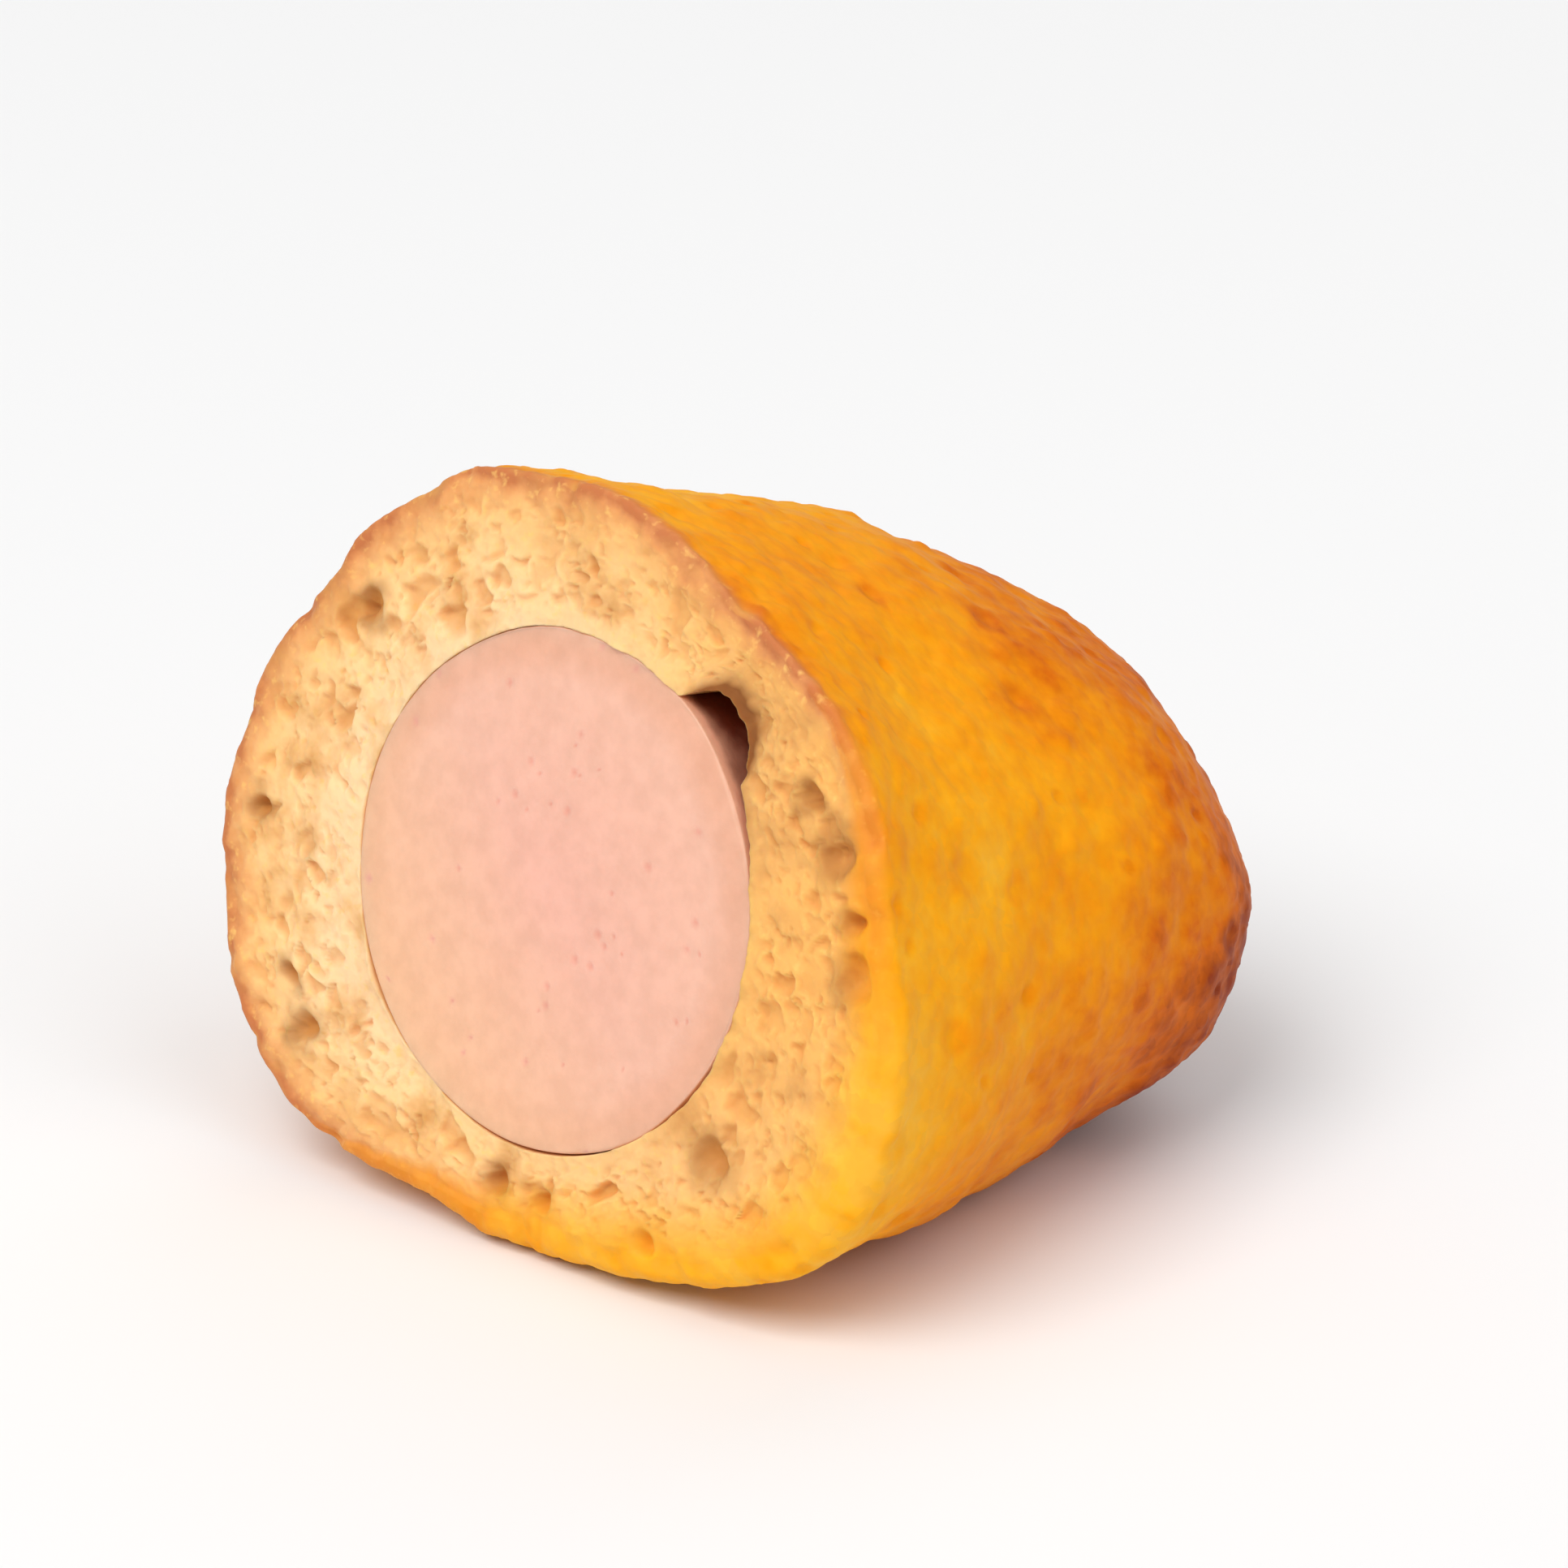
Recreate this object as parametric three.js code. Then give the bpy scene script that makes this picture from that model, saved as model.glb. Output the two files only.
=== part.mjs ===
// Half of a bite-size corn dog without its stick: corn batter fried round a sausage and cut across.
//
// Millimetres, +Z up. The origin lies under the middle of the half, on the surface that it rests
// on. The cut face looks along -Y and a little upwards, because the half tapers towards its round
// end and so settles back onto it.

import * as THREE from "three";
import { mergeVertices } from "three/addons/utils/BufferGeometryUtils.js";

// Size of the half, measured in its own frame: the long axis is +Y and the cut is the plane y = 0.
const HALF_LENGTH = 24; // cut face to the tip of the round end
const FACE_RADIUS = 13.35; // mean radius of the cut face
const FACE_OVAL = 1.13; // how much further its rim lies at the ends of its long way
const OVAL_TURN = -9.4; // degrees of the long way, from +X towards +Z
const FACE_CORNERS = 0.57; // how far three soft corners of the rim stand out
const CORNER_TURN = -20.4; // degrees of the first corner, from +X towards +Z
const END_FULLNESS = 3.8; // superellipse power of the outline: 2 is an egg, 4 a blunt barrel
const END_TAPER = 0.32; // share by which the half narrows over its length
const END_DRIFT = 3; // how far the tip lies to +X of the middle of the sausage
const DRIFT_POWER = 1.5; // how late along the half that sideways bend comes

// The sausage and the tunnel that it fills
const SAUSAGE_DIAMETER = 16.4;
const SAUSAGE_LENGTH = 19; // it stops short of the tip, which is batter alone
const SAUSAGE_END = 10; // length of its round end
const FACE_SWELL = 0.3; // how far the sausage stands out of the cut at its middle
const EDGE_ROUND = 0.4; // rounding of the sausage's cut edge
const TUNNEL_CLEARANCE = 0.3; // between the sausage and the batter

// The crevice where the batter has drawn away from the sausage, beside its upper right edge
const CREVICE_ANGLE = 48; // degrees from +X towards +Z
const CREVICE_SPREAD = 14; // degrees either side
const CREVICE_WIDTH = 1.6; // between the sausage and the batter at its widest
const CREVICE_DEPTH = 4.5; // into the cut

// How the half lies
const FACE_TILT = 12; // degrees that the cut face looks up
const PRESSED_DEPTH = 0.5; // how far its underside is pressed flat

// Uneven growth of the batter: waves in random directions, as wavelength, height and seed
const LUMPS = [
  { wavelength: 21, height: 0.36, seed: 153 },
  { wavelength: 10, height: 0.17, seed: 34 },
  { wavelength: 5.2, height: 0.07, seed: 64 },
];
const WAVES_PER_LUMP = 7;

// How finely the surfaces are divided
const AROUND = 72;
const CRUST_ROWS = 32;
const FACE_ROWS = 4;
const TUNNEL_ROWS = 8;
const SAUSAGE_AROUND = 54;
const ARC_STEPS = 6;

// Random numbers from 0 to 1 that are the same on every run
function randomNumbers(seed) {
  const MULTIPLIER = 16807;
  const MODULUS = 2147483647;
  const SEED_SPACING = 1009;
  let state = seed * SEED_SPACING;
  return () => {
    state = (state * MULTIPLIER) % MODULUS;
    return state / MODULUS;
  };
}

// The waves of one size of lump: a direction over the wavelength, and a phase
function wavesOf({ wavelength, height, seed }) {
  const random = randomNumbers(seed);
  return Array.from({ length: WAVES_PER_LUMP }, () => {
    const up = 2 * random() - 1;
    const turn = 2 * Math.PI * random();
    const level = Math.sqrt(1 - up * up);
    const number = new THREE.Vector3(level * Math.cos(turn), level * Math.sin(turn), up);
    return {
      number: number.multiplyScalar((2 * Math.PI) / wavelength),
      phase: 2 * Math.PI * random(),
      height: height / Math.sqrt(WAVES_PER_LUMP / 2),
    };
  });
}

const waves = LUMPS.flatMap(wavesOf);

// How far the crust stands out from its smooth form at a point
function lumpAt(point) {
  return waves.reduce((sum, wave) => {
    return sum + wave.height * Math.cos(wave.number.dot(point) + wave.phase);
  }, 0);
}

// The radius of the cut face's rim at a turn round the long axis
function rimRadius(turn) {
  const oval = Math.cos(2 * (turn - THREE.MathUtils.degToRad(OVAL_TURN)));
  const corners = Math.cos(3 * (turn - THREE.MathUtils.degToRad(CORNER_TURN)));
  return FACE_RADIUS + FACE_OVAL * oval + FACE_CORNERS * corners;
}

// A point on the crust: share runs from 0 at the cut to 1 at the tip, and turn is the angle round
// the long axis.
function crustPoint(share, turn) {
  const n = END_FULLNESS;
  const across = Math.max(Math.cos((share * Math.PI) / 2), 0);
  const along = Math.sin((share * Math.PI) / 2);
  const reach = (across ** n + along ** n) ** (-1 / n);
  const out = across * reach;
  const far = along * reach;
  const radius = rimRadius(turn);
  const width = radius * out * (1 - END_TAPER * far);
  const smooth = new THREE.Vector3(
    width * Math.cos(turn) + END_DRIFT * far ** DRIFT_POWER,
    HALF_LENGTH * far,
    width * Math.sin(turn),
  );
  const outward = new THREE.Vector3(
    (out ** (n - 1) * Math.cos(turn)) / radius,
    far ** (n - 1) / HALF_LENGTH,
    (out ** (n - 1) * Math.sin(turn)) / radius,
  ).normalize();
  return smooth.addScaledVector(outward, lumpAt(smooth));
}

// The outline of the sausage from the shoulder of its round end to the tip of that end, as radius
// and depth below the cut, grown by a clearance.
function roundEnd(clearance) {
  const radius = SAUSAGE_DIAMETER / 2 + clearance;
  const length = SAUSAGE_END + clearance;
  const shoulder = SAUSAGE_LENGTH - SAUSAGE_END;
  return Array.from({ length: ARC_STEPS + 1 }, (_, i) => {
    const turn = (i / ARC_STEPS) * (Math.PI / 2);
    const out = i < ARC_STEPS ? radius * Math.cos(turn) : 0;
    return new THREE.Vector2(out, shoulder + length * Math.sin(turn));
  });
}

// How far the batter draws away from the sausage at a turn and a depth below the cut
function creviceAt(turn, depth) {
  const off = (THREE.MathUtils.radToDeg(turn) - CREVICE_ANGLE) / CREVICE_SPREAD;
  const wide = Math.max(1 - off * off, 0);
  const deep = Math.max(1 - (depth / CREVICE_DEPTH) ** 2, 0);
  return (CREVICE_WIDTH - TUNNEL_CLEARANCE) * wide * Math.sqrt(deep);
}

// A ring of points round the long axis, where radiusAt gives the radius at each turn
function ringAt(depth, radiusAt) {
  return Array.from({ length: AROUND }, (_, i) => {
    const turn = (i / AROUND) * 2 * Math.PI;
    const radius = radiusAt(turn);
    return new THREE.Vector3(radius * Math.cos(turn), depth, radius * Math.sin(turn));
  });
}

// Rings of points from the tip of the crust, over the cut face, to the inner end of the tunnel
function batterRings() {
  const rings = [];
  for (let row = CRUST_ROWS - 1; row >= 0; row--) {
    const ring = Array.from({ length: AROUND }, (_, i) => {
      return crustPoint(row / CRUST_ROWS, (i / AROUND) * 2 * Math.PI);
    });
    rings.push(ring);
  }

  const rim = rings[rings.length - 1];
  const [shoulder, ...end] = roundEnd(TUNNEL_CLEARANCE);
  const tunnelRing = (depth) => ringAt(depth, (turn) => shoulder.x + creviceAt(turn, depth));
  const mouth = tunnelRing(0);
  for (let row = 1; row <= FACE_ROWS; row++) {
    rings.push(rim.map((point, i) => point.clone().lerp(mouth[i], row / FACE_ROWS)));
  }

  for (let row = 1; row <= TUNNEL_ROWS; row++) {
    rings.push(tunnelRing((row / TUNNEL_ROWS) * shoulder.y));
  }
  const last = end.pop();
  for (const { x, y } of end) {
    rings.push(ringAt(y, () => x));
  }
  return { first: crustPoint(1, 0), rings, last: new THREE.Vector3(0, last.y, 0) };
}

// A closed surface through the rings, with a point at each end
function closedSurface({ first, rings, last }) {
  const around = rings[0].length;
  const points = [first, ...rings.flat(), last];
  const at = (ring, i) => 1 + ring * around + (i % around);
  const faces = [];
  for (let i = 0; i < around; i++) {
    faces.push(0, at(0, i + 1), at(0, i));
    for (let ring = 0; ring < rings.length - 1; ring++) {
      faces.push(at(ring, i), at(ring, i + 1), at(ring + 1, i + 1));
      faces.push(at(ring, i), at(ring + 1, i + 1), at(ring + 1, i));
    }
    faces.push(at(rings.length - 1, i), at(rings.length - 1, i + 1), points.length - 1);
  }
  const geometry = new THREE.BufferGeometry().setFromPoints(points);
  geometry.setIndex(faces);
  return geometry;
}

// Lays a shape down as the half rests, with the cut face looking up a little
function laidDown(geometry) {
  return geometry.rotateX(-THREE.MathUtils.degToRad(FACE_TILT));
}

// Presses the underside flat, and returns the height of the flat
function pressFlat(geometry) {
  geometry.computeBoundingBox();
  const flat = geometry.boundingBox.min.z + PRESSED_DEPTH;
  const positions = geometry.attributes.position;
  for (let i = 0; i < positions.count; i++) {
    positions.setZ(i, Math.max(positions.getZ(i), flat));
  }
  geometry.computeBoundingBox();
  return flat;
}

// Batter: the fried crust, the cut face and the tunnel of the sausage are one closed surface.
const batterGeometry = laidDown(closedSurface(batterRings()));
const flat = pressFlat(batterGeometry);
batterGeometry.computeVertexNormals();
const batter = new THREE.Mesh(
  batterGeometry,
  new THREE.MeshStandardMaterial({ color: 0xd98a33, roughness: 0.75, metalness: 0 }),
);
batter.name = "batter";

// Sausage: a rod with a round inner end and a cut face that swells a little
function sausageShape() {
  const radius = SAUSAGE_DIAMETER / 2;
  const face = Array.from({ length: ARC_STEPS + 1 }, (_, i) => {
    const out = (i / ARC_STEPS) * (radius - EDGE_ROUND);
    return new THREE.Vector2(out, -FACE_SWELL * (1 - (out / radius) ** 2));
  });
  const outline = [...face, new THREE.Vector2(radius, EDGE_ROUND), ...roundEnd(0)];
  // A lathe turns its outline about +Y, the long axis of the half.
  const lathe = new THREE.LatheGeometry(outline, SAUSAGE_AROUND);
  lathe.deleteAttribute("normal");
  lathe.deleteAttribute("uv");
  return mergeVertices(lathe);
}
const sausageGeometry = laidDown(sausageShape());
sausageGeometry.computeVertexNormals();
const sausage = new THREE.Mesh(
  sausageGeometry,
  new THREE.MeshStandardMaterial({ color: 0xf0b3a4, roughness: 0.5, metalness: 0 }),
);
sausage.name = "sausage";

// The corn dog half, moved so that the origin is under its middle
const cornDog = new THREE.Group();
cornDog.name = "corn_dog_half";
cornDog.add(batter, sausage);
const middle = batterGeometry.boundingBox.getCenter(new THREE.Vector3());
cornDog.position.set(-middle.x, -middle.y, -flat);

export default cornDog;
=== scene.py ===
"""Half of a bite-size corn dog without its stick, cut across and lying on its side."""

import math

import bpy
import numpy as np
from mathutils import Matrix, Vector, noise


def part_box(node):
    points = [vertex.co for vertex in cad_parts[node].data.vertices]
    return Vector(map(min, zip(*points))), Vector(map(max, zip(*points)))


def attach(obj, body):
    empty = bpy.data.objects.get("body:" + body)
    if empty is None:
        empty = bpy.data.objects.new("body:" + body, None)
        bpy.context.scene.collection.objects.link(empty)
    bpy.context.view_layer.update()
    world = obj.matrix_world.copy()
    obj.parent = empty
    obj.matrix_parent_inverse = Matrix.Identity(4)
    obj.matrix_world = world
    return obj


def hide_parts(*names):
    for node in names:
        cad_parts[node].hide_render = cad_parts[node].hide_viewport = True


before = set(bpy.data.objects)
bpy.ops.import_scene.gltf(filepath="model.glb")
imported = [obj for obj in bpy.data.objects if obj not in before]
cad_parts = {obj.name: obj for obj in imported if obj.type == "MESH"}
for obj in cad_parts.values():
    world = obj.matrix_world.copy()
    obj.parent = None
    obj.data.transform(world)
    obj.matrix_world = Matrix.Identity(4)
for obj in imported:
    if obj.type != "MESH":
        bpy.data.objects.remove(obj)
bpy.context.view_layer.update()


# Batter: a thick corn batter that was dipped round the sausage, fried until a thin golden crust
# formed, and cut across with a knife. Crust, pale crumb and the tunnel of the sausage are one body.

MM = 0.001  # metres

# Sizes in the half's own frame, where the long axis is +Y and the cut is the plane y = 0
HALF_LENGTH = 24.0 * MM  # cut face to the tip of the round end
FACE_RADIUS = 13.35 * MM  # mean radius of the cut face
FACE_OVAL = 1.13 * MM  # how much further its rim lies at the ends of its long way
OVAL_TURN = math.radians(-9.4)  # of the long way, from +X towards +Z
FACE_CORNERS = 0.57 * MM  # how far three soft corners of the rim stand out
CORNER_TURN = math.radians(-20.4)  # of the first corner
END_FULLNESS = 3.8  # superellipse power of the outline
END_TAPER = 0.32  # share by which the half narrows over its length
END_DRIFT = 3.0 * MM  # how far the tip lies to one side
DRIFT_POWER = 1.5  # how late along the half that sideways bend comes
FACE_TILT = math.radians(12)  # how far the cut face looks up
PRESSED_DEPTH = 0.5 * MM  # how far the underside is pressed flat

# Uneven growth in the fryer: wavelength, height and seed of each size of lump
LUMPS = [(21.0 * MM, 0.36 * MM, 153), (10.0 * MM, 0.17 * MM, 34), (5.2 * MM, 0.07 * MM, 64)]
WAVES_PER_LUMP = 7

# How finely the crust is divided: points in a ring round the long axis, and rings along it
AROUND = 640
CRUST_ROWS = 200

# Random numbers and warped noise are the same on every run.
SEED_SPACING = 1009
MULTIPLIER = 16807
MODULUS = 2147483647
NOISE_SEED = 3
noise.seed_set(NOISE_SEED)


def random_numbers(seed):
    """Random numbers from 0 to 1."""
    state = seed * SEED_SPACING
    while True:
        state = state * MULTIPLIER % MODULUS
        yield state / MODULUS


def growth_waves():
    """The wave numbers, phases and heights of the uneven growth."""
    numbers, phases, heights = [], [], []
    for wavelength, height, seed in LUMPS:
        random = random_numbers(seed)
        for _ in range(WAVES_PER_LUMP):
            up = 2 * next(random) - 1
            turn = 2 * math.pi * next(random)
            level = math.sqrt(1 - up * up)
            direction = np.array([level * math.cos(turn), level * math.sin(turn), up])
            numbers.append(direction * 2 * math.pi / wavelength)
            phases.append(2 * math.pi * next(random))
            heights.append(height / math.sqrt(WAVES_PER_LUMP / 2))
    return np.array(numbers), np.array(phases), np.array(heights)


def grown_crust(shares, turns):
    """Points on the crust and the directions out of it: shares run from 0 at the cut to 1 at
    the tip, and turns go round the long axis."""
    share, turn = np.meshgrid(shares, turns, indexing="ij")
    n = END_FULLNESS
    across = np.maximum(np.cos(share * math.pi / 2), 0)
    along = np.sin(share * math.pi / 2)
    reach = (across**n + along**n) ** (-1 / n)
    out = across * reach
    far = along * reach
    radius = (
        FACE_RADIUS
        + FACE_OVAL * np.cos(2 * (turn - OVAL_TURN))
        + FACE_CORNERS * np.cos(3 * (turn - CORNER_TURN))
    )
    width = radius * out * (1 - END_TAPER * far)
    drift = END_DRIFT * far**DRIFT_POWER
    smooth = [width * np.cos(turn) + drift, HALF_LENGTH * far, width * np.sin(turn)]
    smooth = np.stack(smooth, -1)
    steep = out ** (n - 1) / radius
    outward = [steep * np.cos(turn), far ** (n - 1) / HALF_LENGTH, steep * np.sin(turn)]
    outward = np.stack(outward, -1)
    outward /= np.linalg.norm(outward, axis=-1, keepdims=True)
    numbers, phases, heights = growth_waves()
    growth = (heights * np.cos(smooth @ numbers.T + phases)).sum(-1)
    return smooth + outward * growth[..., None], outward


OCTAVE_RATIO = 2.0  # how many times smaller the patches of each further octave are
OCTAVE_FALL = 1.0  # power of that ratio by which they are lower


def patches(points, size, octaves=1):
    """Smooth random values of about -1 to 1 at points, in patches of about that size. Points
    that are shifted read other patches, so that no two uses agree."""
    places = (points.reshape(-1, 3) / size).tolist()
    values = [noise.fractal(place, OCTAVE_FALL, OCTAVE_RATIO, octaves) for place in places]
    return np.array(values).reshape(points.shape[:-1])


GRAIN_WARP = 0.35  # how far grains are bent out of true, where their size is 1
GRAIN_WARP_RATE = 0.9  # how fast that bend changes from grain to grain
LOWEST_GRAIN = 0.35  # height of the lowest grain, where the highest is 1
GRAIN_FALL = 1.1  # how steeply a grain falls away from its middle
MEAN_GRAIN = 0.4  # mean height of the grains


def grains(points, size):
    """Rounded grains of about that size, each with a height of its own of up to 1, and 0 in the
    gaps between them."""
    heights = []
    for place in (points.reshape(-1, 3) / size).tolist():
        place = Vector(place)
        warp = GRAIN_WARP * noise.noise_vector(GRAIN_WARP_RATE * place)
        distances, centres = noise.voronoi(place + warp)
        own_height = LOWEST_GRAIN + (1 - LOWEST_GRAIN) * abs(noise.cell(centres[0]))
        heights.append(own_height * max(1 - GRAIN_FALL * distances[0] ** 2, 0))
    return np.array(heights).reshape(points.shape[:-1])


def spots(points, centres, radii):
    """How far points lie inside round spots: 1 at a spot's centre, 0 from its edge outwards."""
    inside = np.zeros(points.shape[:-1])
    for centre, radius in zip(centres, radii):
        squared_distance = ((points - centre) ** 2).sum(-1) / radius**2
        inside = np.maximum(inside, np.clip(1 - squared_distance, 0, 1) ** 2)
    return inside


def picked_places(points, count, seed):
    """Random points of a grid of rings, as dense where the rings are small as elsewhere."""
    random = random_numbers(seed)
    rings, around = points.shape[:2]
    ring_size = np.linalg.norm(points[..., [0, 2]], axis=-1).mean(1)
    ring_size /= ring_size.max()
    found = []
    while len(found) < count:
        ring_picked = int(next(random) * rings)
        place = int(next(random) * around)
        if next(random) < ring_size[ring_picked]:
            found.append(points[ring_picked, place])
    return found


def random_spots(points, among, count, smallest, largest, seed):
    """Spots round random places among some of the points. Small ones are more frequent."""
    centres = picked_places(among, count, seed)
    random = random_numbers(seed + 1)
    radii = [smallest + (largest - smallest) * next(random) ** 2 for _ in range(count)]
    return spots(points, centres, np.array(radii))


# The rings stand closer together towards the cut, where the edge of the crust is rounded.
RINGS_CROWD = 1.25
turns = np.arange(AROUND) / AROUND * 2 * math.pi
crust_shares = (1 - np.arange(1, CRUST_ROWS + 1) / CRUST_ROWS) ** RINGS_CROWD
plain_crust, outward = grown_crust(crust_shares, turns)

# Relief of the crust. Its spots are how many, smallest and largest radius, and seed.
DENTS = (16, 2.4 * MM, 4.5 * MM, 411)
BLISTERS = (120, 0.5 * MM, 1.7 * MM, 401)
BURST_BUBBLES = (150, 0.35 * MM, 0.95 * MM, 403)
SWELLING_SIZE = 4.5 * MM
GRAIN_SIZE = 1.15 * MM
FINE_GRAIN_SIZE = 0.66 * MM
CRAG_SIZE = 1.7 * MM
ROUGH_PATCH = 6.5 * MM  # size of the patches that have crags
ROUGH_CONTRAST = 2.2  # how sharply they set in
ROUGH_START = 0.25  # how far they are held back

# Heights of that relief, in millimetres
SWELLING_HEIGHT = 0.15
DENT_DEPTH = 0.20
GRAIN_HEIGHT = 0.12
FINE_GRAIN_HEIGHT = 0.09
BLISTER_HEIGHT = 0.11
BURST_RIM_HEIGHT = 0.04
BURST_DEPTH = 0.15
CRAG_HEIGHT = 0.14

swelling = patches(plain_crust, SWELLING_SIZE, 3)
dents = random_spots(plain_crust, plain_crust, *DENTS)
grain = grains(plain_crust, GRAIN_SIZE)
fine_grain = grains(plain_crust + 30 * MM, FINE_GRAIN_SIZE)
blisters = random_spots(plain_crust, plain_crust, *BLISTERS)
burst = random_spots(plain_crust, plain_crust, *BURST_BUBBLES)
burst_rim = 4 * burst * (1 - burst)
rough = ROUGH_CONTRAST * patches(plain_crust + 70 * MM, ROUGH_PATCH, 2) - ROUGH_START
crags = np.clip(rough, 0, 1) * grains(plain_crust + 10 * MM, CRAG_SIZE) ** 2
relief = MM * (
    SWELLING_HEIGHT * swelling
    - DENT_DEPTH * dents
    + GRAIN_HEIGHT * (grain - MEAN_GRAIN)
    + FINE_GRAIN_HEIGHT * (fine_grain - MEAN_GRAIN)
    + BLISTER_HEIGHT * blisters
    + BURST_RIM_HEIGHT * burst_rim
    - BURST_DEPTH * burst
    + CRAG_HEIGHT * crags
)
crust = plain_crust + outward * relief[..., None]
tip, tip_outward = grown_crust([1.0], [0.0])
tip = tip[0, 0] + tip_outward[0, 0] * relief[0].mean()

# The cut edge of the crust: the knife rolled it over, more along the lower right, and chipped it.
ROLLED_LEAST = 0.18 * MM
ROLLED_MOST = 1.10 * MM
ROLLED_SIDE = math.radians(-45)
CHIP_SIZE = 2.2 * MM
CHIP_START = 0.1  # how far chips are held back
CHIP_DEPTH = 0.5 * MM
CHIP_REACH = 0.45 * MM  # how far down the crust they show
lower_right = np.clip(np.cos(turns - ROLLED_SIDE), 0, 1)
edge_round = ROLLED_LEAST + (ROLLED_MOST - ROLLED_LEAST) * lower_right
depth_below = np.clip(crust[..., 1], 0, None)
short_of = np.clip(1 - depth_below / edge_round, 0, 1)
from_axis = np.linalg.norm(crust[..., [0, 2]], axis=-1)
rolled_in = 1 - edge_round * (1 - np.sqrt(1 - short_of**2)) / from_axis
crust[..., 0] *= rolled_in
crust[..., 2] *= rolled_in
rim = crust[-1].copy()
rim[:, 1] = 0
crust[-1] = rim
chips = np.clip(patches(rim, CHIP_SIZE, 3) - CHIP_START, 0, 1) * CHIP_DEPTH
crust[..., 1] += chips * np.exp(-depth_below / CHIP_REACH)

# How brown the crust is, from 0 to 1: palest where the edge rolls over, browner along the sharp
# part of the edge and on what stands up. Browner to the tip and on the underside, partly from
# frying and partly as painted shade, and paler on top as painted light. Each cause adds its share.
PLAIN_BROWN = 0.26
TOASTED_WIDTH = 0.9 * MM  # of the sharp edge
PALE_WIDTH = 4.0 * MM  # of the rolled edge
UNDERSIDE_START = 6 * MM  # from the cut to where the underside is fully browner
TOP_START = 3 * MM
BROWN_REGION = 8.0 * MM
BROWN_PATCH = 2.6 * MM
towards_tip = np.clip(plain_crust[..., 1] / HALF_LENGTH, 0, 1)
toasted_rim = np.exp(-depth_below / TOASTED_WIDTH) * (1 - lower_right)
pale_rim = np.exp(-((depth_below / PALE_WIDTH) ** 2)) * lower_right
# Darker underside: partly frying, partly painted shade. Paler top: painted light.
underside_browning_and_shade = np.clip(-outward[..., 2], 0, 1) * np.clip(depth_below / UNDERSIDE_START, 0, 1)
lit_top = np.clip(outward[..., 2], 0, 1) * np.clip(depth_below / TOP_START, 0, 1)
browned = (
    PLAIN_BROWN
    # Browner to the tip: partly frying, partly painted shade.
    + 0.56 * towards_tip
    + 0.20 * underside_browning_and_shade
    - 0.10 * lit_top
    + 0.28 * toasted_rim
    - 0.20 * pale_rim
    + 0.15 * patches(plain_crust + 90 * MM, BROWN_REGION, 2)
    + 0.10 * patches(plain_crust + 50 * MM, BROWN_PATCH, 3)
    + 0.08 * blisters
    + 0.10 * burst_rim
    + 0.16 * crags
    - 0.08 * dents
    + 0.08 * (grain - MEAN_GRAIN)
    + 0.08 * (fine_grain - MEAN_GRAIN)
)

# The tunnel is round like the sausage, but for the crevices where the batter has drawn away from
# it: angle from +X towards +Z and spread in degrees, width at the cut, and depth.
SAUSAGE_RADIUS = 8.2 * MM
SAUSAGE_UNEVEN = 0.020  # share by which its radius differs from turn to turn
SAUSAGE_WAVE = 5.0 * MM  # size of those differences
TUNNEL_CLEARANCE = 0.015 * MM
TUNNEL_SHOULDER = 9.0 * MM
TUNNEL_END = 10.1 * MM
CREVICES = [
    (49, 12, 1.45 * MM, 4.5 * MM),
    (38, 22, 0.30 * MM, 2.5 * MM),
    (-36, 14, 0.14 * MM, 0.6 * MM),
    (-87, 24, 0.08 * MM, 0.5 * MM),
    (218, 15, 0.12 * MM, 0.6 * MM),
]


def ring(turns, radii, depth):
    """A ring of points round the long axis, at one depth below the cut."""
    return np.stack([radii * np.cos(turns), np.full_like(turns, depth), radii * np.sin(turns)], -1)


def sausage_radii(turns):
    """Radii of the sausage at turns round it: it isn't quite round."""
    circle = ring(turns, np.full_like(turns, SAUSAGE_RADIUS), 0.0)
    return SAUSAGE_RADIUS * (1 + SAUSAGE_UNEVEN * patches(circle, SAUSAGE_WAVE))


def crevice_width(turns, depth):
    """How far the batter stands off the sausage, at each turn round it."""
    width = np.zeros_like(turns)
    for angle, spread, widest, deepest in CREVICES:
        off = (np.degrees(turns) - angle + 180) % 360 - 180
        across = np.clip(1 - (off / spread) ** 2, 0, 1)
        width += widest * across * math.sqrt(max(1 - (depth / deepest) ** 2, 0))
    return width


# The cut face: a cake crumb of opened air cells, from the crust's edge to the sausage. It is
# dense under the crust and against the sausage.
FACE_ROWS = 72
TORN_SIZE = 1.0 * MM  # of the ragged bits where the batter tore off the sausage
TORN_SHARE = 0.22  # how much they widen and narrow a crevice
TORN_LEAST = 0.04 * MM  # how far they open where there is no crevice
tunnel_radii = sausage_radii(turns) + TUNNEL_CLEARANCE
torn = patches(ring(turns, tunnel_radii, 0.0), TORN_SIZE, 3)
torn_open = crevice_width(turns, 0.0) * (1 + TORN_SHARE * torn) + TORN_LEAST * np.clip(torn, 0, 1)
mouth = ring(turns, tunnel_radii + torn_open, 0.0)
inward = np.arange(1, FACE_ROWS + 1)[:, None, None] / FACE_ROWS
face = rim * (1 - inward) + mouth * inward
from_crust = np.linalg.norm(face - rim, axis=-1)
from_sausage = np.linalg.norm(face - mouth, axis=-1)

CELL_WARP = 0.5  # how far air cells are bent out of true, where their size is 1
CELL_WARP_RATE = 1.4  # how fast that bend changes from cell to cell
CELL_WALL = 0.06  # thickness of the walls between them
CELL_SLOPE = 0.42  # width of the slope from a wall to the bottom of a cell


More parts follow.
